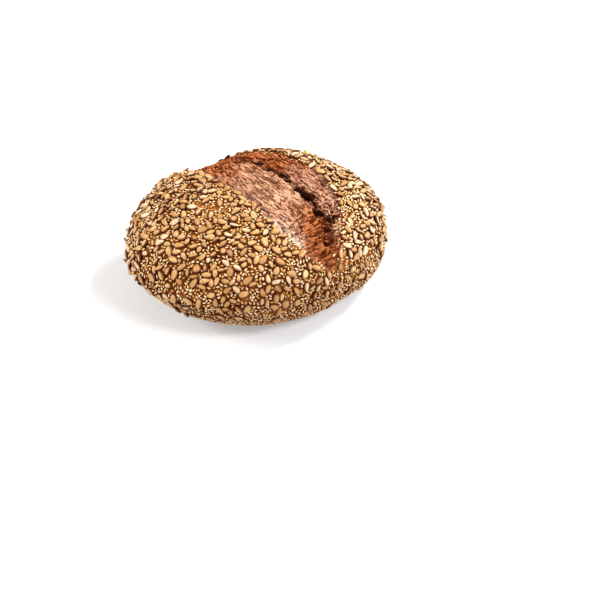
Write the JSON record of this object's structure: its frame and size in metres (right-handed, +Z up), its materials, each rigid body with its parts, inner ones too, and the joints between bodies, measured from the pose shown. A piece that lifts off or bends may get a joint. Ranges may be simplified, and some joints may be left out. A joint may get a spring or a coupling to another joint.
{
  "type": "rye bread loaf",
  "caption": "Whole oval hearth-baked rye loaf with a wide torn split along its top and a crust covered in sunflower kernels and sesame, for tables, shelves and bread boards.",
  "frame": {"origin": "middle of the loaf's footprint, on the surface it stands on", "axes": "+Z up out of the crown, +X along the split, +Y across the split towards the fuller lobe, on the side where the split's torn seam lies"},
  "size_m": [0.2014, 0.241, 0.0969],
  "materials": {
    "crust": "matt baked crust"
  },
  "bodies": {
    "root": {"loaf": "crust"}
  },
  "joints": []
}
